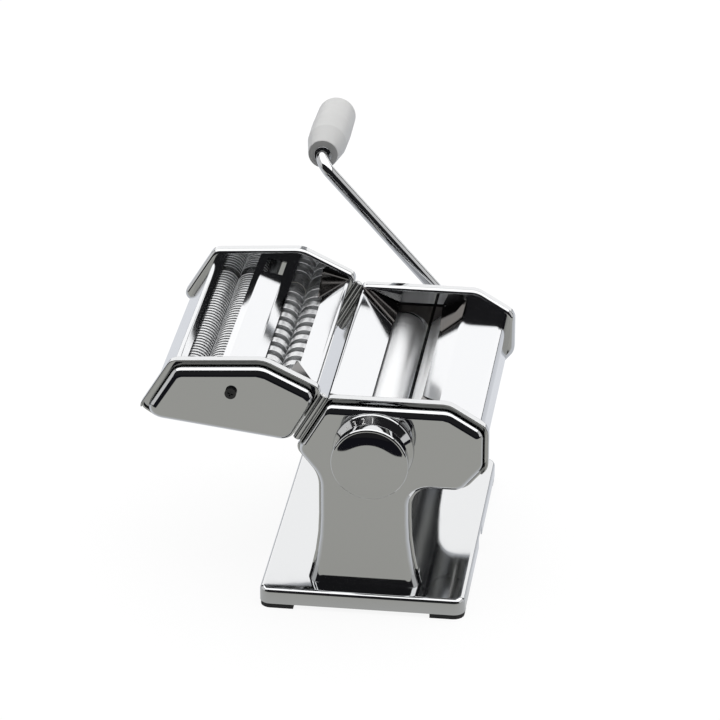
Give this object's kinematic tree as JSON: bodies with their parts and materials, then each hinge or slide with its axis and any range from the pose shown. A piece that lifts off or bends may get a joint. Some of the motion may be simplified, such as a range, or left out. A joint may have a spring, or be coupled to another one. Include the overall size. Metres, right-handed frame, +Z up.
{
  "type": "pasta machine",
  "caption": "Chromed table-top pasta machine with a geared pair of smooth rollers, a thickness knob, a pull-out crank and a lift-off cutter with narrow and wide rollers.",
  "frame": {"origin": "middle of the base tray, in the plane the rubber feet stand on", "axes": "+Z up, -Y towards the user at the knob, +Y to the crank, -X to the cutter attachment"},
  "size_m": [0.2093, 0.2968, 0.2188],
  "materials": {
    "chromed_sheet": "mirror chromed pressed steel",
    "satin_sheet": "satin chromed sheet",
    "guard_steel": "darkened bright steel",
    "chromed_rod": "mirror chromed rod",
    "chromed_knob": "mirror chromed turned knob",
    "roller_aluminium": "satin turned",
    "cutter_steel": "satin turned",
    "plain_steel": "plain bright steel",
    "dark_screw": "blackened screw",
    "bush_plastic": "off-white bearing plastic",
    "grip_plastic": "light grey moulded plastic",
    "foot_rubber": "black rubber"
  },
  "bodies": {
    "frame": {"base_tray": "chromed_sheet", "rubber_feet": "foot_rubber", "clamp_socket": "plain_steel", "base_screws": "plain_steel", "base_nuts": "plain_steel", "front_inner_plate": "chromed_sheet", "rear_inner_plate": "chromed_sheet", "front_side_cover": "chromed_sheet", "rear_side_cover": "chromed_sheet", "left_feed_plate": "satin_sheet", "right_feed_cover": "satin_sheet", "front_end_guard": "guard_steel", "rear_end_guard": "guard_steel", "tie_rods": "plain_steel", "tie_rod_screws": "plain_steel", "left_scraper": "bush_plastic", "right_scraper": "bush_plastic", "drive_roller_bushes": "bush_plastic", "adjuster_bushes": "bush_plastic", "guide_rails": "chromed_sheet"},
    "drive": {"drive_roller": "roller_aluminium", "drive_gear": "plain_steel"},
    "crank": {"crank_arm": "chromed_rod", "grip_washer": "plain_steel"},
    "grip": {"crank_grip": "grip_plastic"},
    "adjuster": {"adjuster_shaft": "plain_steel", "shaft_washer": "plain_steel", "shaft_screw": "plain_steel"},
    "knob": {"thickness_knob": "chromed_knob", "knob_cap": "chromed_knob", "index_pin": "plain_steel", "knob_spring": "plain_steel"},
    "bushes": {"idler_bushes": "bush_plastic"},
    "idler": {"idler_roller": "roller_aluminium", "idler_gear": "plain_steel"},
    "cutter": {"cutter_front_plate": "chromed_sheet", "cutter_rear_plate": "chromed_sheet", "cutter_front_cover": "chromed_sheet", "cutter_rear_cover": "chromed_sheet", "cutter_left_cover": "satin_sheet", "cutter_centre_cover": "satin_sheet", "cutter_right_cover": "satin_sheet", "cutter_end_guards": "guard_steel", "cutter_tie_rods": "plain_steel", "cutter_rod_screws": "plain_steel", "cutter_cover_screws": "dark_screw", "fine_combs": "cutter_steel", "wide_combs": "cutter_steel", "cutter_bushes": "bush_plastic", "cutter_slides": "chromed_sheet"},
    "fine_left": {"fine_cutter_left": "cutter_steel", "fine_gear_left": "plain_steel"},
    "fine_right": {"fine_cutter_right": "cutter_steel", "fine_gear_right": "plain_steel"},
    "wide_left": {"wide_cutter_left": "cutter_steel", "wide_gear_left": "plain_steel"},
    "wide_right": {"wide_cutter_right": "cutter_steel", "wide_gear_right": "plain_steel"}
  },
  "joints": [
    {"name": "crank_turn", "type": "hinge", "parent": "frame", "child": "drive", "pos_m": [0.0345, 0.003, 0.107], "axis": [0, 1, 0], "continuous": true},
    {"name": "crank_pull", "type": "slide", "parent": "drive", "child": "crank", "axis": [0, 1, 0], "range_m": [0, 0.045]},
    {"name": "grip_spin", "type": "hinge", "parent": "crank", "child": "grip", "pos_m": [-0.05279, 0.003, 0.20601], "axis": [0, 1, 0], "continuous": true},
    {"name": "knob_turn", "type": "hinge", "parent": "frame", "child": "adjuster", "pos_m": [0.00599, 0.003, 0.10595], "axis": [0, 1, 0], "range_deg": [0, 120]},
    {"name": "knob_pull", "type": "slide", "parent": "adjuster", "child": "knob", "axis": [0, -1, 0], "range_m": [0, 0.004], "stiffness_N_per_m": 1500, "springref_m": -0.003, "deforming": ["knob_spring"]},
    {"name": "bush_turn", "type": "hinge", "parent": "adjuster", "child": "bushes", "pos_m": [0.00478, 0.003, 0.10665], "axis": [0, 1, 0], "range_deg": [-120, 0]},
    {"name": "idler_spin", "type": "hinge", "parent": "bushes", "child": "idler", "pos_m": [0.00478, 0.003, 0.10665], "axis": [0, 1, 0], "continuous": true},
    {"name": "cutter_slide", "type": "slide", "parent": "frame", "child": "cutter", "axis": [0.5, 0, 0.866], "range_m": [0, 0.06]},
    {"name": "fine_spin", "type": "hinge", "parent": "cutter", "child": "fine_left", "pos_m": [-0.1086, 0.003, 0.1348], "axis": [0, 1, 0], "continuous": true},
    {"name": "fine_follow", "type": "hinge", "parent": "cutter", "child": "fine_right", "pos_m": [-0.0914, 0.003, 0.1348], "axis": [0, 1, 0], "continuous": true},
    {"name": "wide_spin", "type": "hinge", "parent": "cutter", "child": "wide_left", "pos_m": [-0.0649, 0.003, 0.1298], "axis": [0, 1, 0], "continuous": true},
    {"name": "wide_follow", "type": "hinge", "parent": "cutter", "child": "wide_right", "pos_m": [-0.0477, 0.003, 0.1298], "axis": [0, 1, 0], "continuous": true}
  ],
  "couplings": [
    {"joint": "bush_turn", "follows": "knob_turn", "ratio": -1},
    {"joint": "idler_spin", "follows": "crank_turn", "ratio": -1},
    {"joint": "fine_follow", "follows": "fine_spin", "ratio": -1},
    {"joint": "wide_follow", "follows": "wide_spin", "ratio": -1}
  ]
}
